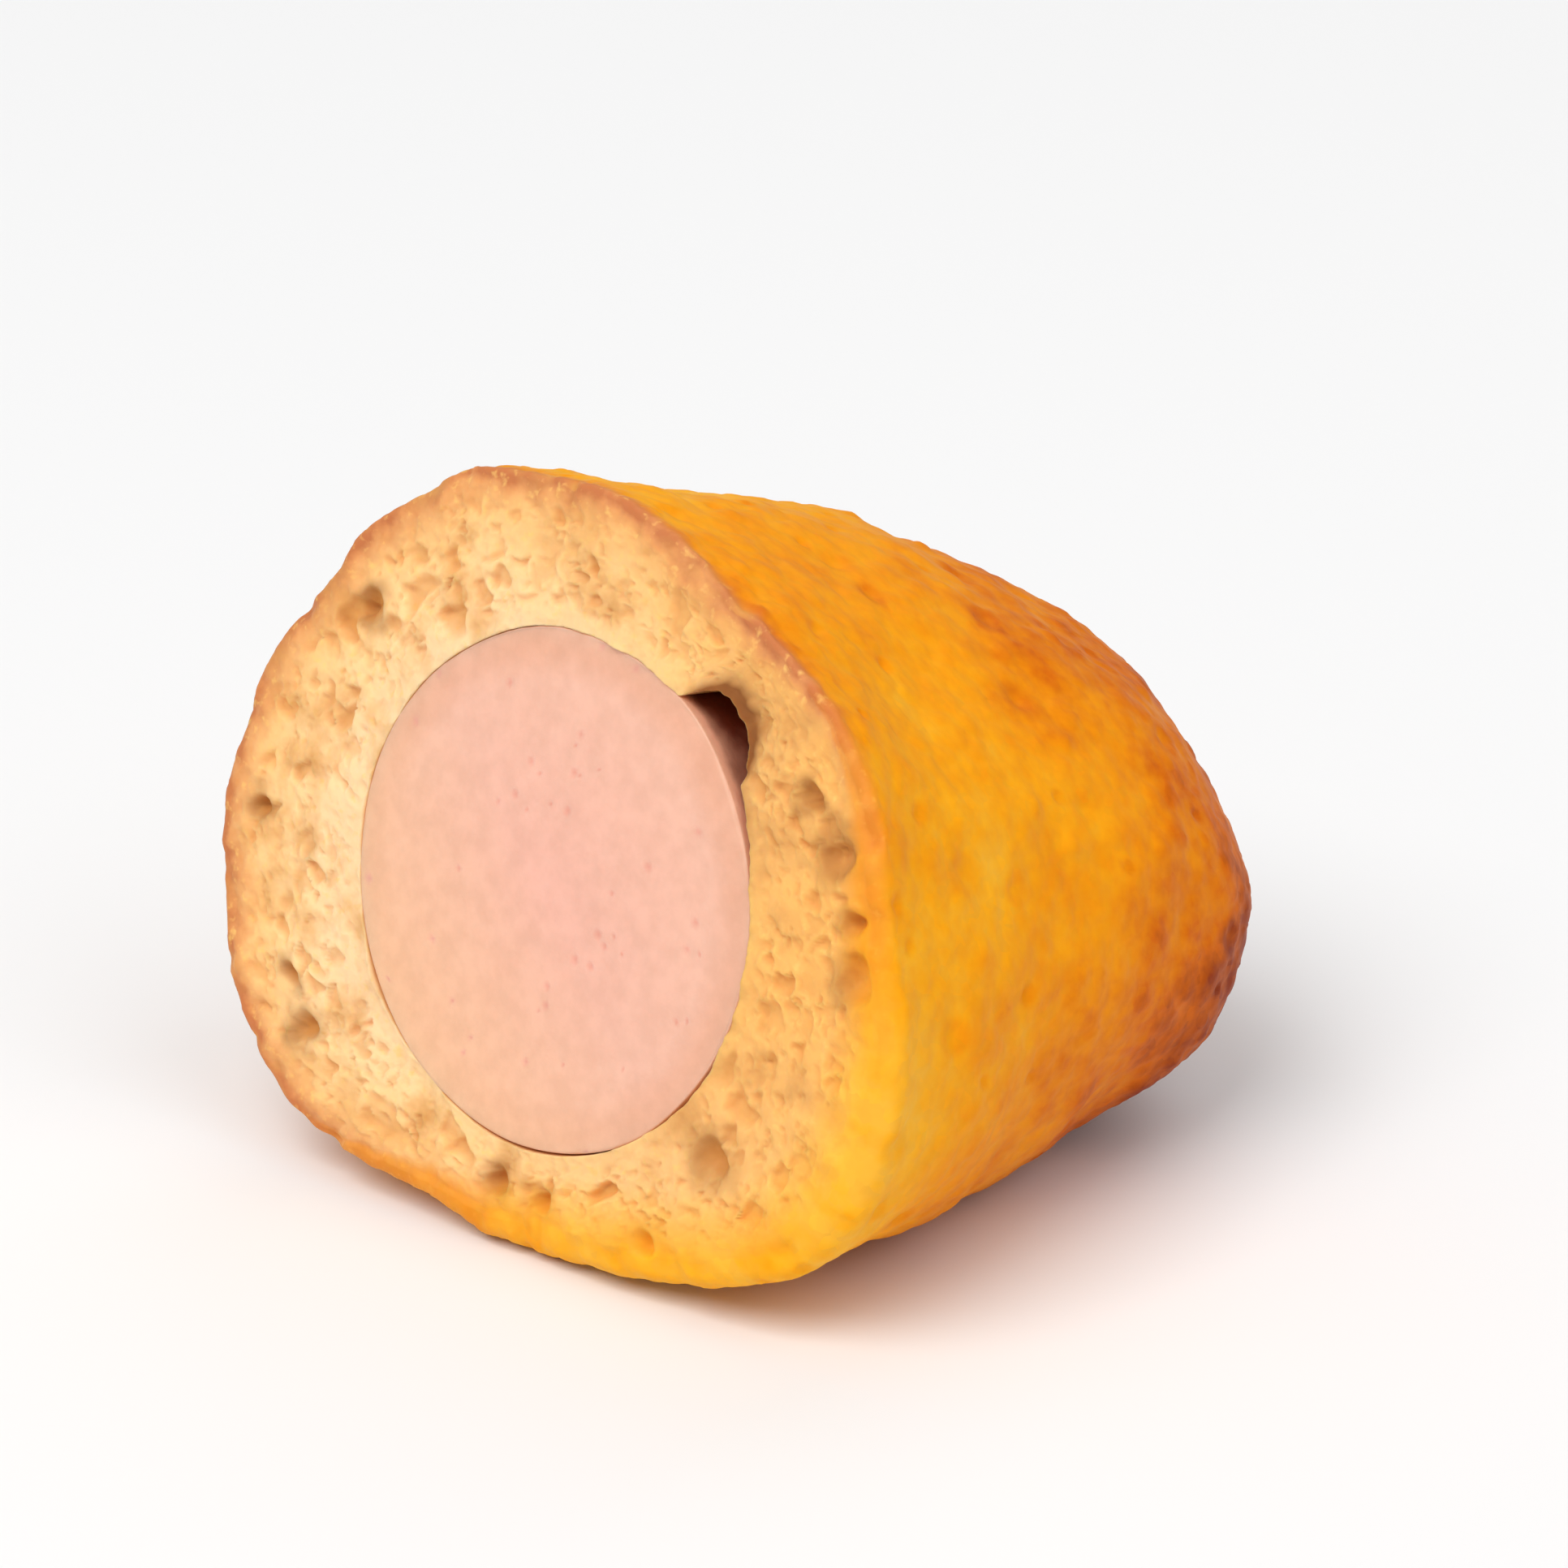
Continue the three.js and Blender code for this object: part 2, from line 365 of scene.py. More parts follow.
def opened_cells(points, size, share):
    """Depth of the air cells of about that size which the knife opened, a share of them all:
    0 at their walls, steeply down to up to 1 in the deepest."""
    depths = []
    for place in (points.reshape(-1, 3) / size).tolist():
        place = Vector(place)
        warp = CELL_WARP * noise.noise_vector(CELL_WARP_RATE * place)
        distances, centres = noise.voronoi(place + warp)
        off_wall = min(max((distances[1] - distances[0] - CELL_WALL) / CELL_SLOPE, 0), 1)
        opened = max(1 - abs(noise.cell(centres[0])) / share, 0)
        depths.append(off_wall * off_wall * (3 - 2 * off_wall) * opened**0.5)
    return np.array(depths).reshape(points.shape[:-1])


# Sizes of air cell: size, share that the knife opened, depth where the largest are 1, and shift
AIR_CELLS = [(1.35 * MM, 0.26, 1.0, 0), (0.76 * MM, 0.50, 0.62, 20), (0.44 * MM, 0.70, 0.32, 60)]
cells = np.zeros(face.shape[:2])
for size, share, depth, shift in AIR_CELLS:
    cells = np.maximum(cells, depth * opened_cells(face + shift * MM, size, share))

# Where the crumb is dense its cells are shallow: start, width and least depth of the change
DENSE_BY_CRUST = (0.3 * MM, 0.9 * MM, 0.2)
DENSE_BY_SAUSAGE = (0.1 * MM, 0.8 * MM, 0.25)


def cell_share(distance, start, width, least):
    """How deep cells are at a distance from a dense edge, where 1 is their full depth."""
    return np.clip((distance - start) / width, least, 1)


cells *= cell_share(from_crust, *DENSE_BY_CRUST) * cell_share(from_sausage, *DENSE_BY_SAUSAGE)

# The largest cells are listed: place across and up, and radius. Frying fat has stained the crumb
# round them; in and beside the crevices and down the tunnel the crumb is darkened as painted shade.
LARGE_CELLS = [
    (9.7 * MM, 5.6 * MM, 0.45 * MM),
    (11.1 * MM, 4.1 * MM, 0.70 * MM),
    (12.5 * MM, 0.5 * MM, 0.75 * MM),
    (12.0 * MM, 2.2 * MM, 0.40 * MM),
    (7.9 * MM, -6.4 * MM, 0.70 * MM),
    (5.6 * MM, -9.8 * MM, 0.50 * MM),
    (1.3 * MM, -9.7 * MM, 0.40 * MM),
    (-0.6 * MM, -9.6 * MM, 0.45 * MM),
    (-9.6 * MM, -7.1 * MM, 0.60 * MM),
    (-10.6 * MM, -5.6 * MM, 0.40 * MM),
    (-12.8 * MM, -0.6 * MM, 0.45 * MM),
    (-9.1 * MM, 6.9 * MM, 0.55 * MM),
]
CELL_REACH = 1.2  # of their slopes, in radii
STAIN_REACH = 2.3
CREVICE_SHADE_WIDTH = 0.5 * MM  # how wide a crevice is where its painted shade is full, and that shade's width
WAVY_SIZE = 0.8 * MM  # of the waves that make cells and stains uneven
CELL_WAVE = 0.2 * MM
STAIN_WAVE = 0.5 * MM
wavy = np.stack([patches(face + shift * MM, WAVY_SIZE) for shift in (0, 40, 80)], -1)
cell_places = [np.array([across, 0.0, up]) for across, up, _ in LARGE_CELLS]
cell_radii = np.array([radius for _, _, radius in LARGE_CELLS])
large_cells = spots(face + CELL_WAVE * wavy, cell_places, CELL_REACH * cell_radii)
stains_and_shade = spots(face + STAIN_WAVE * wavy, cell_places, STAIN_REACH * cell_radii)
# Beside the crevices the crumb is darkened as painted shade.
stains_and_shade = np.maximum(stains_and_shade, np.exp(-from_sausage / CREVICE_SHADE_WIDTH) * torn_open / CREVICE_SHADE_WIDTH)

# Relief of the cut face: depths of its cells and heights of what stands up, in millimetres
CELL_DEPTH = 0.46
LARGE_CELL_DEPTH = 0.60
WAVE_HEIGHT = 0.18
RIPPLE_HEIGHT = 0.08
CRUMB_HEIGHT = 0.08
RIDGE_HEIGHT = 0.06  # of a low ridge under the crust
LIP_HEIGHT = 0.03  # of a lip against the sausage

# Sizes of that relief
WAVE_SIZE = 2.6 * MM
RIPPLE_SIZE = 0.9 * MM
CRUMB_SIZE = 0.40 * MM
RIDGE_PLACE = 0.7  # millimetres from the crust's edge
RIDGE_SPREAD = 0.2  # square millimetres
LIP_WIDTH = 0.2 * MM
EDGE_WIDTH = 0.30 * MM  # over which the relief starts and the edge's chips run out

ridge = np.exp(-((from_crust / MM - RIDGE_PLACE) ** 2) / RIDGE_SPREAD)
lip = np.exp(-from_sausage / LIP_WIDTH)
sunk = MM * (
    CELL_DEPTH * cells
    + LARGE_CELL_DEPTH * large_cells
    - WAVE_HEIGHT * patches(face, WAVE_SIZE, 2)
    - RIPPLE_HEIGHT * patches(face, RIPPLE_SIZE, 3)
    - CRUMB_HEIGHT * (grains(face + 5 * MM, CRUMB_SIZE) - MEAN_GRAIN)
    - RIDGE_HEIGHT * ridge
    - LIP_HEIGHT * lip
)
face[..., 1] += sunk * np.clip(from_crust / EDGE_WIDTH, 0, 1)
face[..., 1] += chips * np.exp(-from_crust / EDGE_WIDTH)

# The tunnel behind the cut
TUNNEL_DEPTHS = np.array([0.12, 0.3, 0.5, 0.8, 1.2, 1.9, 2.8, 3.8, 4.6, 6.5, 9.0]) * MM
MOUTH_REACH = 0.4 * MM  # how far in the relief of the cut face is felt
END_ROWS = 8
tunnel = []
for depth in TUNNEL_DEPTHS:
    torn_width = crevice_width(turns, depth) * (1 + TORN_SHARE * torn)
    points = ring(turns, tunnel_radii + torn_width, depth)
    points[:, 1] += np.maximum(face[-1, :, 1], 0) * math.exp(-depth / MOUTH_REACH)
    tunnel.append(points)
for turn in np.arange(1, END_ROWS) / END_ROWS * math.pi / 2:
    end_depth = TUNNEL_SHOULDER + TUNNEL_END * math.sin(turn)
    tunnel.append(ring(turns, tunnel_radii * math.cos(turn), end_depth))
tunnel = np.array(tunnel)
tunnel_end = np.array([0.0, TUNNEL_SHOULDER + TUNNEL_END, 0.0])


def laid_down(points):
    """Turns points as the half lies, with its cut face looking up a little."""
    cos, sin = math.cos(FACE_TILT), math.sin(FACE_TILT)
    x, y, z = np.moveaxis(points, -1, 0)
    return np.stack([x, y * cos + z * sin, z * cos - y * sin], -1)


# The half lies where its solid lies.
lying = laid_down(plain_crust)
flat_height = lying[..., 2].min() + PRESSED_DEPTH
solid_low, solid_high = (np.array(corner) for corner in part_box("batter"))
to_place = (solid_low + solid_high) / 2 - (lying.min((0, 1)) + lying.max((0, 1))) / 2
to_place[2] = solid_low[2] - flat_height


def placed(points):
    """Points of the half's own frame, where it lies: nothing reaches below the floor."""
    points = laid_down(points)
    points[..., 2] = np.maximum(points[..., 2], flat_height)
    return points + to_place


def closed_mesh(name, first, rings, last, values):
    """A mesh object through rings of points, closed by a point at each end. Each of its values
    is given at the first point, at each point of the rings, and at the last."""
    count, around = rings.shape[:2]
    points = np.concatenate([first[None], rings.reshape(-1, 3), last[None]])
    here = 1 + np.arange(count)[:, None] * around + np.arange(around)
    beside = np.roll(here, -1, 1)
    sides = np.stack([here[:-1], beside[:-1], beside[1:], here[1:]], -1).reshape(-1, 4)
    start = np.stack([np.zeros(around, int), beside[0], here[0]], -1)
    end = np.stack([here[-1], beside[-1], np.full(around, len(points) - 1)], -1)
    mesh = bpy.data.meshes.new(name)
    mesh.from_pydata(placed(points).tolist(), [], start.tolist() + sides.tolist() + end.tolist())
    mesh.shade_smooth()
    for key, (at_first, at_rings, at_last) in values.items():
        attribute = mesh.attributes.new(key, "FLOAT", "POINT")
        full = np.concatenate([[at_first], np.ravel(at_rings), [at_last]])
        attribute.data.foreach_set("value", full.astype(np.float32))
    piece = bpy.data.objects.new(name, mesh)
    bpy.context.scene.collection.objects.link(piece)
    return piece


def over_rings(on_crust, on_face, in_tunnel):
    """One value for every point of the batter's rings."""
    parts = [(crust, on_crust), (face, on_face), (tunnel, in_tunnel)]
    return np.concatenate([np.broadcast_to(value, points.shape[:2]) for points, value in parts])


# Where the edge is rolled over, at the lower right, the crust melts into the crumb. Elsewhere the
# crumb is browned at its edge, and a little way over it.
MELTED_WIDTH = 2.4  # millimetres over which the crust melts into the crumb
SHARP_WIDTH = 0.1
BROWNED_OVER = 0.35 * MM
cut_width = (SHARP_WIDTH + MELTED_WIDTH * lower_right**1.4) * MM
cut_share = np.maximum(np.clip(from_crust / cut_width, 0, 1), 1 - lower_right**0.5)
browned_edge = (1 - lower_right**0.5) * np.exp(-((depth_below / BROWNED_OVER) ** 2))

# The brown line under the crust fades there too, as if the edge were further off. The crumb is
# darker and more golden on the right, partly because the batter is thinner on that side and partly
# as painted shade on the side away from the light.
BROWN_LINE_FADE = 0.9 * MM
TUNNEL_CRUMB = 5  # how many millimetres from the crust the tunnel's crumb is
fading = lower_right * np.clip(from_crust / (0.1 * MM), 0, 1)
crust_distance = from_crust + BROWN_LINE_FADE * fading
golden_and_shaded = (0.5 + 0.5 * np.cos(turns)) ** 2.2
down_tunnel = np.clip(tunnel[..., 1] / MM, 0, 1)
batter = closed_mesh(
    "fried_batter",
    tip,
    np.concatenate([crust, face, tunnel]),
    tunnel_end,
    {
        "browned": (browned[0].mean(), over_rings(browned, browned[-1], 0.5), 0.5),
        "cut": (0, over_rings(browned_edge, cut_share, 1), 1),
        "from_crust": (
            0,
            over_rings(0, crust_distance / MM, TUNNEL_CRUMB),
            TUNNEL_CRUMB,
        ),
        "golden_and_shaded": (0, over_rings(0, np.broadcast_to(golden_and_shaded, face.shape[:2]), 0.5), 0.5),
        # Painted shade in the crumb's cells and bubbles, and deeper down the tunnel.
        "hollow_shade": (0, over_rings(burst, np.maximum(0.8 * cells, large_cells), down_tunnel), 1),
        # Stains round the large cells; beside the crevices and down the tunnel, painted shade.
        "stain_and_shade": (0, over_rings(0, stains_and_shade, down_tunnel), 1),
    },
)


def linear(red, green, blue):
    """A colour given as seen on a screen, 0 to 255, as the shader takes it."""
    return tuple((value / 255) ** 2.2 for value in (red, green, blue)) + (1.0,)


def add_node(tree, kind, inputs=None, **settings):
    """Adds a shader node. Each input is a plain value, or the output that feeds it."""
    made = tree.nodes.new("ShaderNode" + kind)
    for key, value in settings.items():
        setattr(made, key, value)
    for key, value in (inputs or {}).items():
        if isinstance(value, bpy.types.NodeSocket):
            tree.links.new(value, made.inputs[key])
        else:
            made.inputs[key].default_value = value
    return made


def mixed(tree, share, first, second, mode="MIX"):
    """The colour between two colours, each a plain colour or an output. The node has sockets of
    one name for every type, so those for colours go by number."""
    inputs = {0: share, 6: first, 7: second}
    return add_node(tree, "Mix", inputs, data_type="RGBA", blend_type=mode).outputs[2]


def scale_ramp(tree, value, stops):
    """A colour that follows a value through stops of (value, colour)."""
    made = add_node(tree, "ValToRGB", {"Fac": value})
    ramp = made.color_ramp
    while len(ramp.elements) < len(stops):
        ramp.elements.new(0.5)
    for element, (place, colour) in zip(ramp.elements, stops):
        element.position = place
        element.color = colour
    return made.outputs["Color"]


def product(tree, output, factor):
    """An output times a plain number or another output."""
    return add_node(tree, "Math", {0: output, 1: factor}, operation="MULTIPLY").outputs[0]


def summed(tree, start, terms):
    """start plus each output times its weight, where an output's middle value is 0.5."""
    total = start
    for output, weight in terms:
        inputs = {0: output, 1: weight, 2: -0.5 * weight}
        offset = add_node(tree, "Math", inputs, operation="MULTIPLY_ADD").outputs[0]
        total = add_node(tree, "Math", {0: total, 1: offset}, operation="ADD").outputs[0]
    return total


def between(tree, value, low, high):
    """A value brought from between low and high to between 0 and 1."""
    inputs = {"Value": value, "From Min": low, "From Max": high}
    return add_node(tree, "MapRange", inputs).outputs[0]


def speckle(tree, place, size, detail=2.0):
    """Random values of about 0 to 1 in patches of that size."""
    inputs = {"Vector": place, "Scale": 1 / size, "Detail": detail}
    return add_node(tree, "TexNoise", inputs).outputs["Fac"]


def sandy_grain(tree, place, size):
    """Rounded grains of that size, as a node: its distance is 0 in their middles and more
    between them, and its colour differs from grain to grain."""
    return add_node(tree, "TexVoronoi", {"Vector": place, "Scale": 1 / size})


def carried(tree, key):
    """A value that the mesh carries at its points."""
    return add_node(tree, "Attribute", attribute_name=key).outputs["Fac"]


def roughen(tree, shader, layers):
    """Roughens a shader's normal by each layer of (height output, depth)."""
    for height, depth in layers:
        inputs = {"Height": height, "Strength": 1.0, "Distance": depth}
        if shader.inputs["Normal"].links:
            inputs["Normal"] = shader.inputs["Normal"].links[0].from_socket
        made = add_node(tree, "Bump", inputs)
        tree.links.new(made.outputs["Normal"], shader.inputs["Normal"])


def empty_material(name, surface):
    """A material with a shader and nothing else, and where a point lies on the piece. surface
    holds what is the same all over it."""
    material = bpy.data.materials.new(name)
    material.use_nodes = True
    tree = material.node_tree
    shader = tree.nodes["Principled BSDF"]
    for key, value in surface.items():
        shader.inputs[key].default_value = value
    place = add_node(tree, "TexCoord").outputs["Object"]
    return material, tree, shader, place


CRUST_COLOURS = [  # by how brown it is
    (0.00, linear(255, 189, 62)),
    (0.12, linear(255, 181, 44)),
    (0.28, linear(252, 167, 24)),
    (0.50, linear(243, 146, 14)),
    (0.74, linear(216, 107, 8)),
    (1.00, linear(142, 54, 4)),
]
CRUMB_COLOURS = [  # by distance from the crust, where DEEPEST_CRUMB is 1
    (0.00, linear(196, 120, 76)),
    (0.06, linear(224, 153, 96)),
    (0.20, linear(249, 193, 127)),
    (0.45, linear(255, 209, 149)),
    (0.80, linear(255, 212, 162)),
]
DEEPEST_CRUMB = 6.0  # millimetres
GOLDEN_SHADED_CRUMB = linear(245, 177, 90)
SMUDGE_COLOUR = linear(216, 156, 92)
# Painted shade in the crumb's opened cells and down the tunnel
CELL_SHADE_COLOUR = linear(216, 150, 82)
# Stains, and painted shade beside the crevices and down the tunnel
STAIN_AND_SHADE_COLOUR = linear(140, 88, 50)
MEAL_COLOUR = linear(250, 204, 118)
GRIT_COLOURS = [(0.0, linear(226, 206, 186)), (1.0, linear(255, 255, 255))]
GRIT_SHARE = 0.35
GOLDEN_SHADE_SHARE = 0.85
STAIN_AND_SHADE_SHARE = 0.7

# Sizes of its speckles
GRIT_SIZE = 0.42 * MM
BROWN_MOTTLE = 1.5 * MM
BROWN_SPECK = 0.50 * MM
CRUMB_MOTTLE = 0.9 * MM
MEAL_SIZE = 0.32 * MM
SMUDGE_SIZE = 1.9 * MM
FRIED_SURFACE = {
    "Roughness": 0.46,
    "Specular IOR Level": 0.06,
    "Subsurface Weight": 0.3,
    "Subsurface Scale": 0.8 * MM,
    "Subsurface Radius": (1.0, 0.55, 0.25),
}

# The crust: browned unevenly, over a grit of corn meal
fried, tree, shader, place = empty_material("fried_corn_batter", FRIED_SURFACE)
grit = sandy_grain(tree, place, GRIT_SIZE)
grit_shade = add_node(tree, "SeparateColor", {"Color": grit.outputs["Color"]}).outputs["Red"]
uneven_browning = [
    (speckle(tree, place, BROWN_MOTTLE, 4.0), 0.36),
    (speckle(tree, place, BROWN_SPECK), 0.22),
    (grit_shade, 0.10),
]
brownness = summed(tree, carried(tree, "browned"), uneven_browning)
crust_colour = scale_ramp(tree, brownness, CRUST_COLOURS)
grit_light = scale_ramp(tree, grit_shade, GRIT_COLOURS)
crust_colour = mixed(tree, GRIT_SHARE, crust_colour, grit_light, "MULTIPLY")

# The crumb: paler with depth, darker and golden on the right partly as painted shade, with specks
# of corn meal, smudges, stains, and painted shade in its cells, beside its crevices and down the
# tunnel
uneven_depth = [(speckle(tree, place, CRUMB_MOTTLE, 3.0), 1.4)]
crumb_depth = summed(tree, carried(tree, "from_crust"), uneven_depth)
crumb_colour = scale_ramp(tree, between(tree, crumb_depth, 0.0, DEEPEST_CRUMB), CRUMB_COLOURS)
# Darker and more golden on the right: partly thinner batter, partly painted shade.
golden_shade_share = product(tree, carried(tree, "golden_and_shaded"), GOLDEN_SHADE_SHARE)
crumb_colour = mixed(tree, golden_shade_share, crumb_colour, GOLDEN_SHADED_CRUMB, "DARKEN")
corn_meal = between(tree, speckle(tree, place, MEAL_SIZE), 0.58, 0.90)
crumb_colour = mixed(tree, corn_meal, crumb_colour, MEAL_COLOUR)
smudges = between(tree, speckle(tree, place, SMUDGE_SIZE, 4.0), 0.48, 0.76)
crumb_colour = mixed(tree, smudges, crumb_colour, SMUDGE_COLOUR)
# Stains, and painted shade beside the crevices and down the tunnel
stain_and_shade_share = product(tree, carried(tree, "stain_and_shade"), STAIN_AND_SHADE_SHARE)
crumb_colour = mixed(tree, stain_and_shade_share, crumb_colour, STAIN_AND_SHADE_COLOUR)
# Painted shade in the cells and down the tunnel
crumb_colour = mixed(tree, carried(tree, "hollow_shade"), crumb_colour, CELL_SHADE_COLOUR)

# Both together, and the relief that is too fine for the mesh: each with its depth
cut = carried(tree, "cut")
batter_colour = mixed(tree, cut, crust_colour, crumb_colour)
tree.links.new(batter_colour, shader.inputs["Base Color"])
fine_relief = [
    (speckle(tree, place, 0.80 * MM, 1.0), 0.06 * MM),
    (sandy_grain(tree, place, 0.36 * MM).outputs["Distance"], 0.010 * MM),
    (product(tree, cut, speckle(tree, place, 0.40 * MM)), 0.04 * MM),
]
roughen(tree, shader, fine_relief)
batter.data.materials.append(fried)
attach(batter, "root")
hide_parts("batter")


# Sausage: a smooth cooked sausage of fine pink meat, pushed into the batter before frying. The
# knife left its cut face nearly flat, swelling a little where the meat has drawn together.

SAUSAGE_LENGTH = 19.0 * MM
SAUSAGE_END = 10.0 * MM  # length of the round inner end
FACE_SWELL = 0.3 * MM
EDGE_ROUND = 0.06 * MM
SAUSAGE_AROUND = 300
MEAT_ROWS = 80
EDGE_ROWS = 5
PINHOLES = (45, 0.10 * MM, 0.26 * MM, 501)  # how many, smallest and largest radius, and seed

meat_turns = np.arange(SAUSAGE_AROUND) / SAUSAGE_AROUND * 2 * math.pi
meat_radii = sausage_radii(meat_turns) / SAUSAGE_RADIUS
outs = np.arange(1, MEAT_ROWS + 1) / MEAT_ROWS * (SAUSAGE_RADIUS - EDGE_ROUND)
outline = [(out, -FACE_SWELL * (1 - (out / SAUSAGE_RADIUS) ** 2)) for out in outs]
edge_start, edge_depth = outline[-1]
for turn in np.arange(1, EDGE_ROWS + 1) / EDGE_ROWS * math.pi / 2:
    out = edge_start + EDGE_ROUND * math.sin(turn)
    outline.append((out, edge_depth + EDGE_ROUND * (1 - math.cos(turn))))
outline.extend((SAUSAGE_RADIUS, depth) for depth in TUNNEL_DEPTHS[2:])
for turn in np.arange(1, END_ROWS) / END_ROWS * math.pi / 2:
    depth = SAUSAGE_LENGTH - SAUSAGE_END * (1 - math.sin(turn))
    outline.append((SAUSAGE_RADIUS * math.cos(turn), depth))
meat = np.array([ring(meat_turns, out * meat_radii, depth) for out, depth in outline])

# Relief of the cut meat: heights in millimetres, and sizes
MEAT_WAVE_HEIGHT = 0.05
MEAT_GRAIN_HEIGHT = 0.012
PINHOLE_DEPTH = 0.06
MEAT_WAVE = 3.0 * MM
MEAT_GRAIN = 0.5 * MM
pinholes = random_spots(meat, meat[:MEAT_ROWS], *PINHOLES)
on_cut = np.zeros(meat.shape[:2])
on_cut[:MEAT_ROWS] = 1
meat[..., 1] += MM * on_cut * (
    MEAT_WAVE_HEIGHT * patches(meat, MEAT_WAVE, 2)
    + MEAT_GRAIN_HEIGHT * patches(meat, MEAT_GRAIN, 3)
    + PINHOLE_DEPTH * pinholes
)

# How far the meat is from the skin, in millimetres. The skin doesn't show on the cut, and down the
# side, which shows only in the crevices, painted shade darkens it within a short way. The cut is
# creamier towards the lower left.
SAUSAGE_MIDDLE = 8.0
CUT_EDGE = 0.7
SIDE_SHADE_REACH = 0.4
from_skin = (SAUSAGE_RADIUS - np.linalg.norm(meat[..., [0, 2]], axis=-1)) / MM
from_skin = np.where(on_cut > 0, np.maximum(from_skin, CUT_EDGE), 0)
down_side = np.clip(meat[..., 1] / MM, 0, None)
# Down the side, seen in the crevices: painted shade, darker with depth.
from_skin = np.maximum(from_skin, CUT_EDGE * np.exp(-down_side / SIDE_SHADE_REACH))
from_skin = np.clip(from_skin, 0, SAUSAGE_MIDDLE)
lower_left = -(meat[..., 0] + meat[..., 2]) / (math.sqrt(2) * SAUSAGE_RADIUS)
creamy = np.clip(lower_left, 0, 1) * on_cut
sausage = closed_mesh(
    "sausage_meat",
    np.array([0.0, -FACE_SWELL, 0.0]),
    meat[:, ::-1],
    np.array([0.0, SAUSAGE_LENGTH, 0.0]),
    {
        "from_skin": (SAUSAGE_MIDDLE, from_skin[:, ::-1], 0),
        # Painted shade in the pinholes
        "hollow_shade": (0, (pinholes * on_cut)[:, ::-1], 0),
        "creamy": (0, creamy[:, ::-1], 0),
    },
)

MEAT_COLOURS = [  # by distance from the skin, where SAUSAGE_MIDDLE is 1; the darkest stop is painted shade down the side
    # Painted shade down the side of the sausage
    (0.00, linear(110, 48, 34)),
    (0.05, linear(232, 172, 142)),
    (0.20, linear(240, 186, 162)),
    (1.00, linear(240, 181, 161)),
]
CREAMY_COLOUR = linear(244, 189, 148)
# Painted shade in the pinholes
PINHOLE_SHADE_COLOUR = linear(236, 168, 148)
MOTTLE_SIZE = 0.7 * MM
MOTTLE_COLOURS = [(0.35, linear(246, 244, 242)), (0.65, linear(255, 255, 255))]
COOKED_SURFACE = {
    "Roughness": 0.45,
    "Specular IOR Level": 0.45,
    "Subsurface Weight": 0.35,
    "Subsurface Scale": 1.2 * MM,
    "Subsurface Radius": (1.0, 0.6, 0.45),
}

cooked, tree, shader, place = empty_material("cooked_sausage", COOKED_SURFACE)
uneven_distance = [(speckle(tree, place, 2.5 * MM, 3.0), 0.8)]
skin_distance = summed(tree, carried(tree, "from_skin"), uneven_distance)
meat_colour = scale_ramp(tree, between(tree, skin_distance, 0.0, SAUSAGE_MIDDLE), MEAT_COLOURS)
meat_colour = mixed(tree, carried(tree, "creamy"), meat_colour, CREAMY_COLOUR)
meat_colour = mixed(tree, carried(tree, "hollow_shade"), meat_colour, PINHOLE_SHADE_COLOUR)
mottle = scale_ramp(tree, speckle(tree, place, MOTTLE_SIZE, 4.0), MOTTLE_COLOURS)
meat_colour = mixed(tree, 1.0, meat_colour, mottle, "MULTIPLY")
tree.links.new(meat_colour, shader.inputs["Base Color"])
fine_relief = [
    (speckle(tree, place, 0.5 * MM, 3.0), 0.03 * MM),
    (speckle(tree, place, 0.12 * MM, 2.0), 0.01 * MM),
]
roughen(tree, shader, fine_relief)
sausage.data.materials.append(cooked)
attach(sausage, "root")
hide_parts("sausage")


# Floor: a plain white table top that the half lies on. It isn't part of the corn dog, and it is
# so large that its edges don't show.

FLOOR_HALF = 1.5
TABLE_SURFACE = {"Base Color": (0.88, 0.88, 0.88, 1.0), "Roughness": 0.8}
corners = [(x * FLOOR_HALF, y * FLOOR_HALF, 0) for x, y in ((-1, -1), (1, -1), (1, 1), (-1, 1))]
floor_mesh = bpy.data.meshes.new("floor")
floor_mesh.from_pydata(corners, [], [(0, 1, 2, 3)])
floor = bpy.data.objects.new("floor", floor_mesh)
bpy.context.scene.collection.objects.link(floor)
table_top = empty_material("white_table_top", TABLE_SURFACE)[0]
floor.data.materials.append(table_top)


# Lights: a large soft box high in front of the cut face, weaker ones on its right and behind, and
# a white room round them, so that all shadows are soft. Angles go from -Y towards +X.

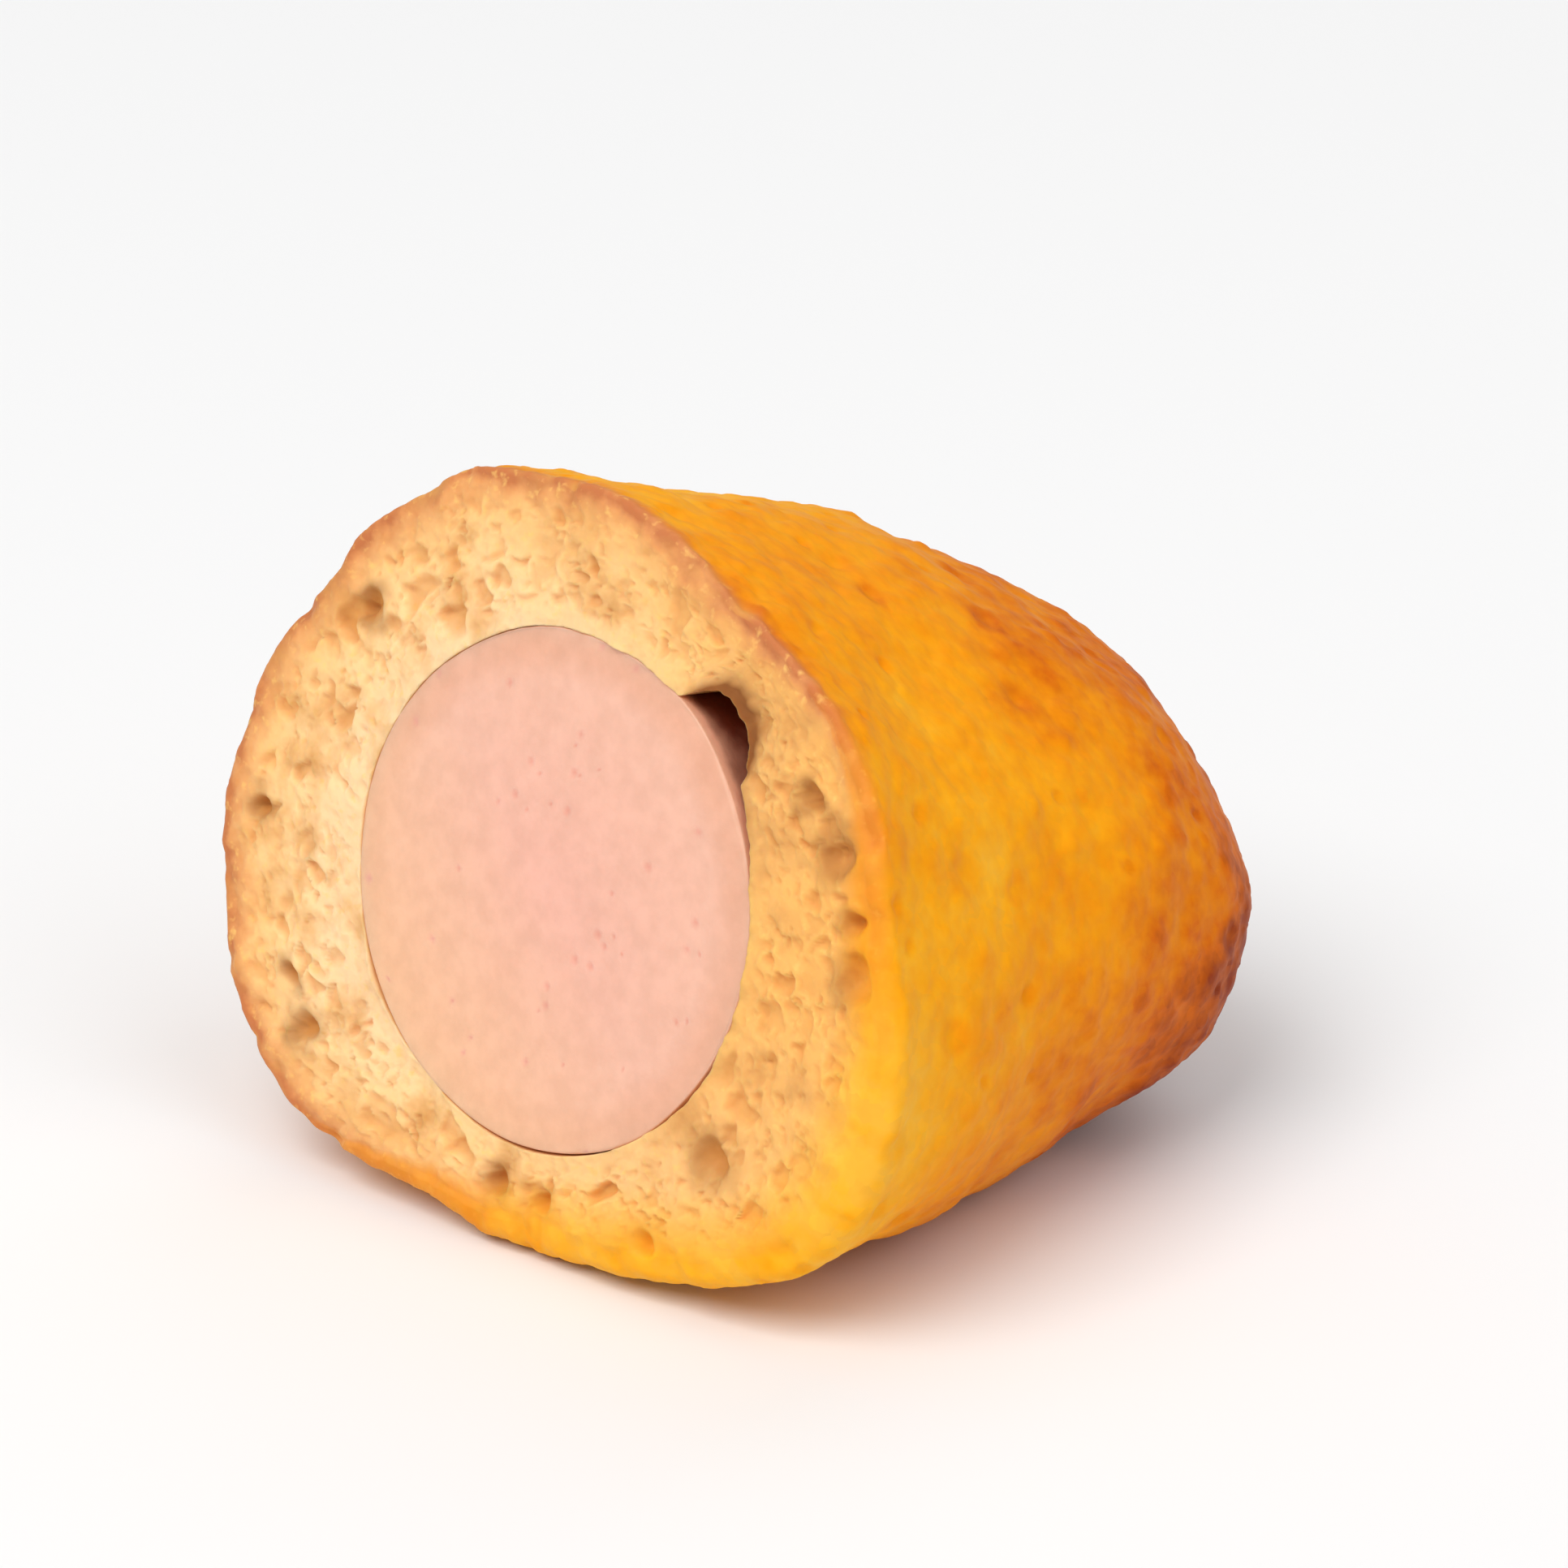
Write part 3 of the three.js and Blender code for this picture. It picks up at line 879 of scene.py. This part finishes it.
MIDDLE_HEIGHT = float(solid_low[2] + solid_high[2]) / 2
BOX_DISTANCE = 1.5
BOX_SIZE = 1.0
ROOM_LIGHT = 0.38


def soft_box(name, azimuth, elevation, power):
    """A square light that shines at the corn dog's middle, seen from it at these angles."""
    data = bpy.data.lights.new(name, "AREA")
    data.shape = "SQUARE"
    data.size = BOX_SIZE
    data.energy = power
    light = bpy.data.objects.new(name, data)
    turn, rise = math.radians(azimuth), math.radians(elevation)
    level = BOX_DISTANCE * math.cos(rise)
    height = MIDDLE_HEIGHT + BOX_DISTANCE * math.sin(rise)
    light.location = (level * math.sin(turn), -level * math.cos(turn), height)
    light.rotation_euler = (math.pi / 2 - rise, 0, turn)
    bpy.context.scene.collection.objects.link(light)


soft_box("key_light", azimuth=8, elevation=52, power=16.0)
soft_box("fill_light", azimuth=85, elevation=48, power=5.5)
soft_box("back_light", azimuth=200, elevation=50, power=3.0)
world = bpy.data.worlds.new("white_room")
world.use_nodes = True
background = world.node_tree.nodes["Background"]
background.inputs["Color"].default_value = (1.0, 1.0, 1.0, 1.0)
background.inputs["Strength"].default_value = ROOM_LIGHT
bpy.context.scene.world = world
bpy.context.scene.view_settings.view_transform = "Standard"


# Camera: low and to the right of the cut face, so that the face and the crust both show. A long
# lens keeps the near edge of the face from growing.

CAMERA_AZIMUTH = math.radians(42)
CAMERA_ELEVATION = math.radians(22)
CAMERA_DISTANCE = 0.25
CAMERA_LENS = 180  # millimetres
camera_data = bpy.data.cameras.new("camera")
camera_data.lens = CAMERA_LENS
camera_data.clip_start = 0.01
camera = bpy.data.objects.new("camera", camera_data)
level = CAMERA_DISTANCE * math.cos(CAMERA_ELEVATION)
camera.location = (
    level * math.sin(CAMERA_AZIMUTH),
    -level * math.cos(CAMERA_AZIMUTH),
    MIDDLE_HEIGHT + CAMERA_DISTANCE * math.sin(CAMERA_ELEVATION),
)
camera.rotation_euler = (math.pi / 2 - CAMERA_ELEVATION, 0, CAMERA_AZIMUTH)
bpy.context.scene.collection.objects.link(camera)
bpy.context.scene.camera = camera
